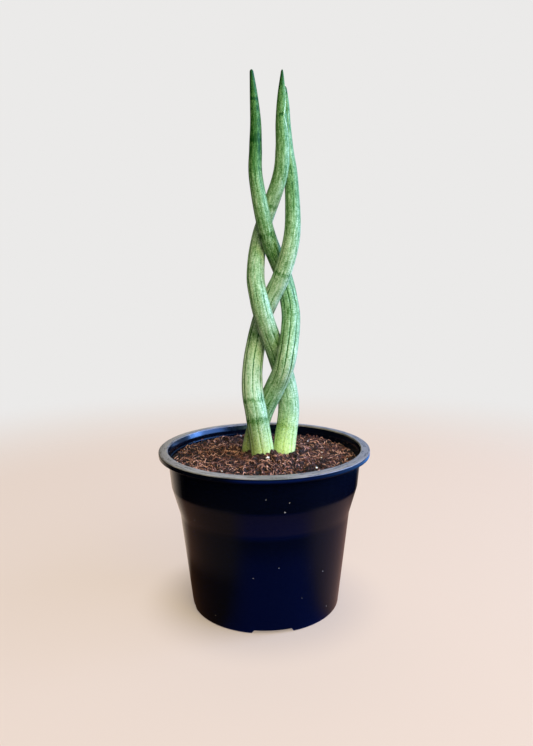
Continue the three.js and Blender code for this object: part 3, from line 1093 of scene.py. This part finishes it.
        # The channel's lips are painted paler as a highlight and its trough darker as painted shade; the
        # paler ridges beside the groove lines are the leaf's own.
        tone = tone - 0.1 * (ridge * strength) - 0.08 * lips * opened + 0.12 * trough * opened
        marks = {
            # The margin is painted pale as a highlight, the skin behind it gets painted shade, and the nick
            # is darkened as painted shade.
            "tone": tone - 2.6 * edge + 0.25 * shaded + 0.5 * nick,
            "band": self.banding(grid),
            "groove": np.clip(line * strength, 0, 1),
            "rise": np.clip((grid.height - self.soil_line) / (self.stations[-1][0] - self.soil_line), 0, 1),
            "crease": np.clip((normal * bend[:, None]).sum(-1) * radius / self.sharpest_bend, 0, 1),
        }
        marks = {key: np.r_[value.ravel(), value[0, 0], value[-1, 0]] for key, value in marks.items()}
        tips = [(0, 0, at[0]), (0, 0, at[-1])]
        marks["straight"] = np.vstack([grid.straight.reshape(-1, 3), tips]) * MM
        points = np.vstack([points.reshape(-1, 3), ends])
        return new_piece(self.name, points, skin_faces(len(at), self.sides), marks)

    def dress(self) -> None:
        """Builds the leaf and gives it its finish."""
        settle(self.build(), LeafSkin(self.name + "_skin").material(), self.node)


LEAVES = (
    Leaf(
        name="leaf_left",
        node="spear_left",
        grooves=9,
        groove_turn=-12,
        stations=(
            *((84, -10, 13.5, 17.8), (122, -10, 13.5, 17.8), (156, -1, 11.5, 17), (178, 9, 4, 16.4)),
            *((201, 17.5, -6, 15.8), (231, 22, 3, 14.9), (250, 20.5, 13.5, 14.3), (270, 15.5, 13.5, 13.6)),
            *((300, 3.6, -1.2, 12.7), (340, -4.2, -5, 10.7), (362, -4.4, -3.2, 9.8), (381, -4.1, -2.4, 8.4)),
            *((400, -5.2, -4, 6.1), (418.5, -6.8, -6.5, 2.6)),
        ),
        tones=(
            # From 148 to 164 the tones are raised as painted shade, where the other leaves shade this one.
            *((122, 0.1), (148, 0.4), (164, 0.44), (176, 0.3), (186, 0.22), (200, 0.22), (215, 0.3)),
            *((240, 0.36), (255, 0.44), (290, 0.5), (320, 0.38), (335, 0.46), (345, 0.57), (354, 0.71)),
            *((370, 0.83), (380, 0.77), (390, 0.71), (402, 0.8), (410, 0.9), (418, 1.0)),
        ),
        bands=(
            *((416, 3.0, 0.7), (404, 1.6, 0.35), (398, 0.9, 1.0), (391, 1.2, 0.5)),
            *((385.5, 1.4, 0.5, -50, 40), (379, 4.0, 0.75, 28, 30), (371.5, 1.6, 0.7, 10, 45)),
            *((368, 1.3, 0.95), (360, 3.0, 0.6, 30, 35)),
            *((354, 2.2, 0.6, 45, 24), (346, 1.2, 0.4), (332, 1.6, 0.35, 0, 50), (299, 1.9, 0.8)),
            *((294, 1.3, 0.55, -20, 40), (285, 2.4, 0.45), (237, 2.2, 0.4, -20, 30), (166, 3.6, 0.6, 6, 13)),
            (139, 2.0, 0.5),
        ),
        channel=TipChannel(394.0, 165.0, 26.0, 0.3),
        seed=11,
    ),
    Leaf(
        name="leaf_front",
        node="spear_front",
        grooves=8,
        groove_turn=-10,
        stations=(
            *((84, 16, 6.5, 18.5), (122, 16, 6.5, 18.5), (156, 20.5, 16.5, 17.6), (178, 18.5, 19, 17)),
            *((201, 12, 13, 16.3), (231, 2, -1, 15.4), (250, -3, -4.1, 14.6), (270, -5.5, 2.5, 13.9)),
            *((300, -1.3, 13.2, 12.7), (340, 13.2, -1, 11.6), (362, 15.9, -3, 10.7), (381, 15.2, -3.2, 8.9)),
            *((400, 15.8, -3.5, 7.1), (419, 16, -3.5, 1.6)),
        ),
        tones=(
            *((122, 0.04), (132, 0.14), (150, 0.2), (165, 0.24), (200, 0.4), (212, 0.34), (222, 0.26)),
            *((260, 0.28), (285, 0.22), (320, 0.24), (335, 0.32), (345, 0.44), (362, 0.45), (378, 0.56)),
            *((394, 0.54), (404, 0.62), (411, 0.77), (418, 1.0)),
        ),
        bands=(
            *((415.5, 3.5, 0.7), (408, 1.2, 0.4), (396, 1.3, 0.45, -50, 40), (384, 1.2, 0.4, -20, 40)),
            *((376, 1.2, 0.4), (361, 1.4, 0.35, -20, 50), (342, 4.0, 0.5, 24, 16), (332, 3.0, 0.5, -22, 14)),
            # The band at 300 is a painted shadow under the crossing leaf, and the one at 323 is a band with
            # painted contact shadow where the leaves cross.
            *((323, 1.7, 0.7), (317, 2.2, 0.55, 62, 28), (300, 4.0, 0.6, 0, 30), (281, 1.6, 0.4)),
            # The band at 204 is a painted shadow of another leaf.
            *((252, 2.6, 0.35), (204, 2.8, 0.5, -55, 30), (143, 2.2, 0.75), (147, 1.2, 0.5, -40, 50)),
        ),
        channel=TipChannel(386.0, 88.0, 34.0, 0.26),
        seed=23,
        margin=Margin(
            path=((335, 85), (369, 75), (379, 55), (386, 24), (393, 38), (406, 50), (416, 60)),
            nick=386.6,
        ),
    ),
    Leaf(
        name="leaf_back",
        node="spear_back",
        grooves=7,
        groove_turn=16,
        stations=(
            *((84, -1, -5.5, 18.4), (122, -1, -5.5, 18.4), (156, -5.5, -8, 17.5), (178, -9, -1.5, 16.9)),
            *((201, -8, 14.5, 16.2), (231, -1.5, 17.1, 15.1), (250, 6.5, 7.6, 14.4), (270, 15.5, -2.5, 13.8)),
            *((300, 23, -5.5, 12.6), (340, 22.9, 6, 10.5), (362, 20.3, 7, 9.1), (381, 19.1, 6.4, 7.1)),
            *((396, 19.1, 5.6, 4.6), (409, 18.5, 4.8, 1.6)),
        ),
        tones=(
            *((122, 0.16), (138, 0.14), (150, 0.24), (165, 0.18), (180, 0.08), (205, 0.14), (226, 0.3)),
            *((245, 0.14), (275, 0.2), (290, 0.28), (300, 0.35), (312, 0.46), (325, 0.52), (345, 0.56)),
            *((360, 0.48), (385, 0.52), (400, 0.48), (407, 0.8)),
        ),
        bands=(
            # The band at 380 is painted shade beside the front leaf's tip.
            *((405, 3.0, 0.7), (392, 1.0, 0.7), (380, 4.0, 0.7, 20, 50), (358, 1.4, 0.7, 45, 30)),
            # The band at 330 is a painted shadow of the front leaf.
            *((350, 3.2, 0.7, 0, 20), (344.5, 1.4, 0.5), (337, 2.6, 0.4), (330, 2.8, 0.55, -30, 30)),
            *((318, 2.2, 0.4), (307, 1.4, 0.5, -42, 30), (298, 1.4, 0.35), (269.5, 1.9, 0.9)),
            *((266, 1.3, 0.5), (257, 3.4, 0.5, -41, 12), (252, 3.4, 0.5, 9, 12), (220, 2.2, 0.8)),
            *((216, 1.3, 0.45), (169, 1.9, 0.85), (155, 2.3, 0.95), (140, 2.5, 0.35, -40, 30)),
        ),
        channel=TipChannel(388.0, 120.0, 26.0, 0.3),
        seed=37,
    ),
)


# ---------------------------------------------------------------- soil


PEAT: Stops = ((0.0, "070302"), (0.35, "150805"), (0.65, "331810"), (1.0, "643829"))
COIR: Stops = ((0.0, "120604"), (0.4, "34170f"), (0.7, "7c4734"), (1.0, "f0b496"))
PINE: Stops = ((0.0, "2a1712"), (0.4, "4e2f26"), (0.8, "7a4c3c"), (1.0, "a0705a"))
WHITE: Stops = ((0.0, "cfc8bd"), (0.5, "e6e1d8"), (1.0, "f5f3ee"))


class Loose(Enum):
    """The loose lumps that lie in the soil, each with its piece's name."""

    CRUMB = "soil_crumbs"
    BARK = "bark_chips"
    PERLITE = "perlite"


@dataclass(frozen=True)
class Grit:
    """One kind of loose lump.

    Some are set down one by one, as sideways, towards the back and radius. For the others,
    it says how many are tried at random, how far inside the wall, and how their radii
    are drawn: an even draw between two limits, to the power of the crowding, scaled. A
    lump is a ball whose faces are split a number of times, with a height over width and
    dents as deep as a share of its radius.
    """

    kind: Loose
    finish: PeatMix
    set_down: tuple[tuple[float, float, float], ...]
    tries: int
    margin: float
    radii: tuple[float, float]
    levels: int
    flatness: float
    dents: float
    seed: int
    crowding: float = 1.0
    scale: float = 1.0


@dataclass(frozen=True)
class Strand:
    """Coir strands and how they are drawn at random: their number, the rings on each,
    their length (the shape and scale of a gamma distribution, and the least), how far
    they bow as a share of that, the kinks, how high they lie, arch and tilt, and their
    half thickness, which tapers to a share of it at the ends."""

    count: int = 4200
    rings: int = 6
    length: tuple[float, float] = (3.0, 1.6)
    least: float = 2.0
    bow: float = 0.55
    kink: float = 0.25
    lift: float = 0.55
    arch: float = 0.9
    tilt: float = 0.25
    thickness: tuple[float, float] = (0.15, 0.38)
    end: float = 0.35
    taper: float = 2.6


@dataclass
class Soil:
    """Peat and coir that fills the pot to 10 mm below its lip and rises a little to the
    leaves. The mound and the clumps are sideways, towards the back, then height and
    radius for the mound, and radius and height for a clump. The layers of grains are
    how high they are, how far apart, and their mean height."""

    pot: NurseryPot
    feet: list[tuple[float, float]]
    edge_height: float = 120.6
    edge_radius: float = 75.55
    mound: tuple[float, float, float, float] = (1.0, -4.0, 4.2, 36.0)
    clumps: tuple[tuple[float, float, float, float], ...] = (
        (6.0, -13.0, 9.5, 4.4),
        (30.0, 12.0, 14.0, 3.0),
        (8.0, -19.0, 4.0, 1.4),
        (-6.0, -15.0, 8.0, 2.6),
        (-17.0, 7.0, 8.0, -2.6),
        (17.5, -4.5, 7.0, -2.2),
    )
    layers: tuple[tuple[float, float, float], ...] = ((1.4, 4.6, 0.8), (1.2, 2.3, 0.4), (0.8, 1.1, 0.2))
    unevenness: float = 0.7
    rings: int = 140
    sides: int = 420
    leaf_radius: float = 9.3
    strand: Strand = Strand()
    grits: tuple[Grit, ...] = (
        Grit(
            kind=Loose.CRUMB,
            finish=PeatMix("peat_crumb", PEAT),
            set_down=(),
            tries=2600,
            margin=1.2,
            radii=(0.35, 1.0),
            levels=0,
            flatness=0.8,
            dents=0.5,
            seed=26,
            crowding=1.6,
            scale=1.25,
        ),
        Grit(
            kind=Loose.BARK,
            finish=PeatMix("pine_bark", PINE, 1.2, 0.7),
            set_down=(
                *((20.7, -16.4, 2.6), (8.4, -20.1, 2.0), (32.0, 17.0, 2.4)),
                *((29.5, 9.0, 2.2), (35.0, 12.0, 2.0), (27.0, 22.0, 2.3)),
            ),
            tries=170,
            margin=4.0,
            radii=(0.7, 1.8),
            levels=1,
            flatness=0.45,
            dents=0.45,
            seed=25,
        ),
        Grit(
            kind=Loose.PERLITE,
            finish=PeatMix("expanded_perlite", WHITE, 0.6, 0.9),
            set_down=(
                *((2.6, -18.9, 1.7), (15.4, -44.8, 0.7), (39.9, -38.2, 0.8), (54.9, 1.4, 0.9)),
                *((49.3, 30.7, 0.9), (-48.7, 54.2, 0.8), (-35.3, 35.5, 0.7), (-62.8, 22.7, 0.8)),
            ),
            tries=34,
            margin=3.0,
            radii=(0.3, 0.75),
            levels=1,
            flatness=0.9,
            dents=0.35,
            seed=22,
        ),
    )
    seed: int = 5

    def relief(self, x: Array, y: Array) -> Array:
        """The surface's height: a bell-shaped mound, clumps that are squared parabolas,
        a slow noise and three layers of packed grains."""
        middle_x, middle_y, height, radius = self.mound
        top = height * np.exp(-((x - middle_x) ** 2 + (y - middle_y) ** 2) / radius**2)
        for clump_x, clump_y, clump_radius, clump_height in self.clumps:
            reach = ((x - clump_x) ** 2 + (y - clump_y) ** 2) / clump_radius**2
            top = top + clump_height * np.maximum(1 - reach, 0) ** 2
        flat = np.stack([x, y, np.zeros_like(x)], -1)
        top = top + self.unevenness * soft_noise(flat, cell=9.0, seed=self.seed, octaves=2)
        for number, (height, cell, mean) in enumerate(self.layers):
            top = top + height * (domes(x, y, cell, self.seed + 1 + number) - mean)
        return self.edge_height + top * ease(self.edge_radius - np.hypot(x, y), -1.5, 3.0)

    def bed(self) -> bpy.types.Object:
        """A closed turned body, whose top follows the relief."""
        inset = self.pot.wall + GAP
        bottom = self.pot.floor_height + self.pot.wall + GAP
        side = [(self.pot.body_radius(bottom) - inset, bottom)]
        side += [(radius - inset, height) for radius, height in (self.pot.body_top, self.pot.shoulder_top)]
        radii = np.linspace(self.edge_radius, self.edge_radius / self.rings, self.rings)
        top = np.stack([radii, np.full(self.rings, self.edge_height)], 1)
        profile = np.vstack([[(side[0][0] / 2, bottom)], side, top])
        grid = lathe(profile, np.linspace(0, TURN, self.sides, endpoint=False))
        surface = grid[1 + len(side) :]
        surface[..., 2] = self.relief(surface[..., 0], surface[..., 1])
        poles = [(0, 0, bottom), (0, 0, float(self.relief(np.zeros(1), np.zeros(1))[0]))]
        points = np.vstack([grid.reshape(-1, 3), poles])
        # Lumps have their own tone, and what stands high is painted paler and what lies low darker, as
        # painted light on the tops and painted shade in the hollows.
        tone = 0.3 + 0.22 * soft_noise(points, cell=5.0, seed=self.seed + 4, octaves=3)
        tone += 0.12 * np.clip(points[:, 2] - self.relief(points[:, 0], points[:, 1]).mean(), -2, 2)
        return new_piece("soil_bed", points, skin_faces(*grid.shape[:2]), {"tone": tone})

    def scatter(self, count: int, rng: np.random.Generator, margin: float) -> Array:
        """Random places on the soil, evenly spread, margin inside the wall and clear of
        the leaves."""
        turn = rng.uniform(0, TURN, count)
        away = (self.edge_radius - margin) * np.sqrt(rng.uniform(0, 1, count))
        place = away[:, None] * circle(turn)
        gap = np.linalg.norm(place[:, None] - np.array(self.feet), axis=-1).min(1)
        return place[gap > self.leaf_radius + 0.4]

    def fibres(self) -> bpy.types.Object:
        """Coir strands: thin four-sided bars on shallow arcs that lie on the relief and
        taper to both ends.

        A strand's middle line is its place, plus its length times (t - 1/2) one way,
        plus its bow times t(1 - t) sideways, and it arches off the soil by t(1 - t).
        """
        strand = self.strand
        rng = np.random.default_rng(self.seed + 6)
        place = self.scatter(strand.count, rng, margin=1.5)
        count = len(place)
        ahead = circle(rng.uniform(0, TURN, count))
        side = np.stack([-ahead[:, 1], ahead[:, 0]], 1)
        length = rng.gamma(*strand.length, (count, 1)) + strand.least
        bow = rng.normal(0, strand.bow, (count, 1)) * length
        t = np.linspace(0, 1, strand.rings)[None]
        flat = place[:, None] + ahead[:, None] * (length * (t - 0.5))[..., None]
        flat = flat + side[:, None] * (bow * t * (1 - t))[..., None]
        flat = flat + rng.normal(0, strand.kink, flat.shape)
        lift = rng.uniform(0.0, strand.lift, (count, 1))
        lift = lift + rng.exponential(strand.arch, (count, 1)) * t * (1 - t) * 2
        lift = lift + rng.normal(0, strand.tilt, (count, 1)) * (t - 0.5) * length / 3
        path = np.concatenate([flat, (self.relief(flat[..., 0], flat[..., 1]) + lift)[..., None]], -1)
        within = np.hypot(path[..., 0], path[..., 1]).max(1) < self.edge_radius - 0.6
        gap = np.linalg.norm(path[..., None, :2] - np.array(self.feet), axis=-1).min((1, 2))
        path = path[within & (gap > self.leaf_radius)]
        count = len(path)
        tangent = unit(np.gradient(path, axis=1))
        right = unit(np.cross(tangent, [0, 0, 1.0]))
        over = np.cross(right, tangent)
        slim = (strand.end + strand.taper * (t * (1 - t))[..., None]).clip(strand.end, 1)
        thick = rng.uniform(*strand.thickness, (count, 1, 1)) * slim
        cos, sin = circle(np.radians(45 + 90 * np.arange(4))).T[..., None]
        grid = path[:, :, None] + thick[..., None] * (cos * right[:, :, None] + sin * over[:, :, None])
        ends = np.stack([path[:, 0], path[:, -1]], 1)
        points = np.concatenate([grid.reshape(count, -1, 3), ends], 1)
        faces = [repeated(group, count, points.shape[1]) for group in skin_faces(strand.rings, 4)]
        tone = np.repeat(rng.uniform(0.2, 1.0, count) ** 1.5, points.shape[1])
        return new_piece("coir_fibres", points.reshape(-1, 3), faces, {"tone": tone})

    def lumps(self, grit: Grit, place: Array, size: Array) -> bpy.types.Object:
        """Small lumps on the relief: balls that are stretched at random, dented by noise,
        turned at random and sunk by a third.

        Args:
            grit: what they are.
            place: sideways, towards the back, one lump a row.
            size: radius of each.

        Returns:
            The new object.
        """
        rng = np.random.default_rng(grit.seed)
        shape, faces = ball(grit.levels)
        count = len(place)
        stretch = rng.uniform(0.6, 1.4, (count, 1, 3)) * np.array([1.0, 1.0, grit.flatness])
        shift = rng.uniform(0, 500, (count, 1, 3))
        dents = soft_noise(shape[None] + shift, cell=0.9, seed=self.seed + 9, octaves=2)
        lump = shape[None] * stretch * (1 + grit.dents * dents)[..., None]
        turn, tilt = rng.uniform(0, TURN, (2, count))
        tilt = (tilt - np.pi) * 0.2
        cos, sin, lean, rise = np.cos(turn), np.sin(turn), np.cos(tilt), np.sin(tilt)
        zero = np.zeros(count)
        spin = np.stack([cos, -sin * lean, sin * rise, sin, cos * lean, -cos * rise, zero, rise, lean], 1)
        lump = np.einsum("nij,nkj->nki", spin.reshape(-1, 3, 3), lump) * size[:, None, None]
        top = self.relief(place[:, 0], place[:, 1]) + size * grit.flatness * 0.35
        points = lump + np.concatenate([place, top[:, None]], 1)[:, None]
        tone = np.repeat(rng.uniform(0.05, 1.0, count), len(shape))
        faces = [repeated(faces, count, len(shape))]
        return new_piece(grit.kind.value, points.reshape(-1, 3), faces, {"tone": tone})

    def dress(self) -> None:
        """Builds the soil and what lies in it, and gives each its finish."""
        rng = np.random.default_rng(self.seed + 20)
        settle(self.bed(), PeatMix("moist_peat", PEAT).material(), "soil")
        settle(self.fibres(), PeatMix("coir_fibre", COIR, 0.5, 0.75).material())
        for grit in self.grits:
            by_hand = np.array(grit.set_down).reshape(-1, 3)
            strewn = self.scatter(grit.tries, rng, grit.margin)
            size = rng.uniform(*grit.radii, len(strewn)) ** grit.crowding * grit.scale
            place = np.vstack([by_hand[:, :2], strewn])
            lumps = self.lumps(grit, place, np.r_[by_hand[:, 2], size])
            settle(lumps, grit.finish.material())


# ---------------------------------------------------------------- studio


@dataclass(frozen=True)
class SoftBox:
    """A rectangular lamp: the direction it stands in (degrees from the front towards +X,
    and above the horizon), its distance and size in metres, its power and its colour. It
    is aimed at a point on the pot's axis, whose height is in metres too."""

    name: str
    turn: float
    rise: float
    distance: float
    width: float
    height: float
    watts: float
    colour: str
    aim: float = 0.19

    def build(self) -> None:
        """Puts the lamp in place, aimed at the plant's middle."""
        lamp = bpy.data.lights.new(self.name, "AREA")
        lamp.shape, lamp.size, lamp.size_y = "RECTANGLE", self.width, self.height
        lamp.energy, lamp.color = self.watts, linear(self.colour)[:3]
        turn, rise = np.radians([self.turn, self.rise])
        away = Vector((np.sin(turn) * np.cos(rise), -np.cos(turn) * np.cos(rise), np.sin(rise)))
        holder = bpy.data.objects.new(self.name, lamp)
        holder.location = Vector((0, 0, self.aim)) + away * self.distance
        holder.rotation_mode = "QUATERNION"
        holder.rotation_quaternion = (-away).to_track_quat("-Z", "Y")
        bpy.context.scene.collection.objects.link(holder)


@dataclass
class Studio:
    """A pale floor that fades into an even pale room, four soft boxes and the camera.

    The camera's place is in millimetres, its pitch downwards and roll in radians. The
    sides are what mirrors see of the room, from the left to the right.
    """

    place: tuple[float, float, float] = (2.38, -547.5, 280.8)
    pitch: float = 0.163
    roll: float = -0.009
    lens: float = 33.55
    wall: str = "ebeae9"
    shade: str = "d8d6d0"
    sides: Stops = (
        (0.0, "2e2c2a"),
        (0.38, "4a4642"),
        (0.41, "ebeae9"),
        (0.49, "dfe3e6"),
        (0.53, "4f86c4"),
        (0.7, "4a7cb8"),
        (0.9, "9cc0f0"),
        (1.0, "b8d4ff"),
    )
    dark_side: str = "2c2c2e"
    dark_to: tuple[float, float] = (-0.75, 0.1)
    room_light: float = 0.2
    floor_radius: float = 1000.0
    floor_sides: int = 96
    lamps: tuple[SoftBox, ...] = (
        SoftBox("window_light", 74, 28, 1.2, 1.3, 0.9, 35, "adc3ff"),
        SoftBox("window_edge", 100, 11, 1.2, 0.42, 0.45, 9, "8ebcff"),
        SoftBox("room_lamp", 18, 30, 1.2, 0.9, 0.9, 17, "fff8c4"),
        SoftBox("back_fill", 184, 52, 1.3, 1.0, 1.0, 7, "fff6e4"),
    )

    def camera(self) -> None:
        """Aims the camera: forwards is +Y tipped down by the pitch, then it is rolled."""
        lens = bpy.data.cameras.new("camera")
        lens.lens, lens.sensor_width, lens.clip_start = self.lens, 36.0, 0.01
        cos, sin = np.cos(self.pitch), np.sin(self.pitch)
        ahead, level, up = np.array([0, cos, -sin]), np.array([1.0, 0, 0]), np.array([0, sin, cos])
        cos, sin = np.cos(self.roll), np.sin(self.roll)
        right, top = cos * level + sin * up, cos * up - sin * level
        turned = Matrix.Identity(4)
        for column, axis in enumerate((right, top, -ahead, np.array(self.place) * MM)):
            for row in range(3):
                turned[row][column] = float(axis[row])
        holder = bpy.data.objects.new("camera", lens)
        holder.matrix_world = turned
        bpy.context.scene.collection.objects.link(holder)
        bpy.context.scene.camera = holder

    def floor(self) -> None:
        """A flat disc that the foot ring stands on."""
        angles = np.linspace(0, TURN, self.floor_sides, endpoint=False)
        rim = np.c_[circle(angles), np.zeros(self.floor_sides)] * self.floor_radius
        floor = new_piece("studio_floor", rim, [np.arange(self.floor_sides)[None]])
        floor.data.materials.append(PaleSurface().material())

    def room(self) -> None:
        """A room that mirrors show dark in front and at the left, pale at the back and
        blue from the windows at the right.

        The camera sees the pale wall all round, and the room's own light is dimmer than
        the wall, so that the lamps model the form.
        """
        world = bpy.data.worlds.new("pale_room")
        bpy.context.scene.world = world
        sheet = Sheet(world)
        seen = sheet.add("LightPath", {}, "Is Camera Ray")
        mirrored = sheet.add("LightPath", {}, "Is Glossy Ray")
        towards = sheet.add("TexCoord", {}, "Generated")
        across = sheet.add("SeparateXYZ", {"Vector": towards}, "X")
        across = sheet.add("MapRange", dict(zip(RANGE, (across, -1.0, 1.0))))
        reflected = sheet.add("ValToRGB", {"Fac": across}, stops=self.sides)
        back = sheet.add("SeparateXYZ", {"Vector": towards}, "Y")
        back = sheet.add("MapRange", dict(zip(RANGE, (back, *self.dark_to))), interpolation_type="SMOOTHSTEP")
        reflected = sheet.add(
            "Mix",
            {"Factor_Float": back, "A_Color": linear(self.dark_side), "B_Color": reflected},
            data_type="RGBA",
        )
        wall = sheet.add("Background", {"Color": linear(self.wall)})
        mirror = sheet.add("Background", {"Color": reflected})
        light = sheet.add("Background", {"Color": linear(self.shade), "Strength": self.room_light})
        shader = sheet.add("MixShader", {0: mirrored, 1: light, 2: mirror})
        shader = sheet.add("MixShader", {0: seen, 1: shader, 2: wall})
        sheet.add("OutputWorld", {"Surface": shader})

    def build(self) -> None:
        """Sets up the floor, the room, the lamps and the camera."""
        bpy.context.scene.view_settings.view_transform = "Standard"
        self.floor()
        self.room()
        for lamp in self.lamps:
            lamp.build()
        self.camera()


def main() -> None:
    """Builds the plant and the studio."""
    logging.basicConfig(level=logging.INFO, format="%(name)s: %(message)s")
    Studio().build()
    pot = NurseryPot()
    pot.dress()
    for leaf in LEAVES:
        leaf.dress()
    Soil(pot, [leaf.foot() for leaf in LEAVES]).dress()


if __name__ == "__main__":
    main()
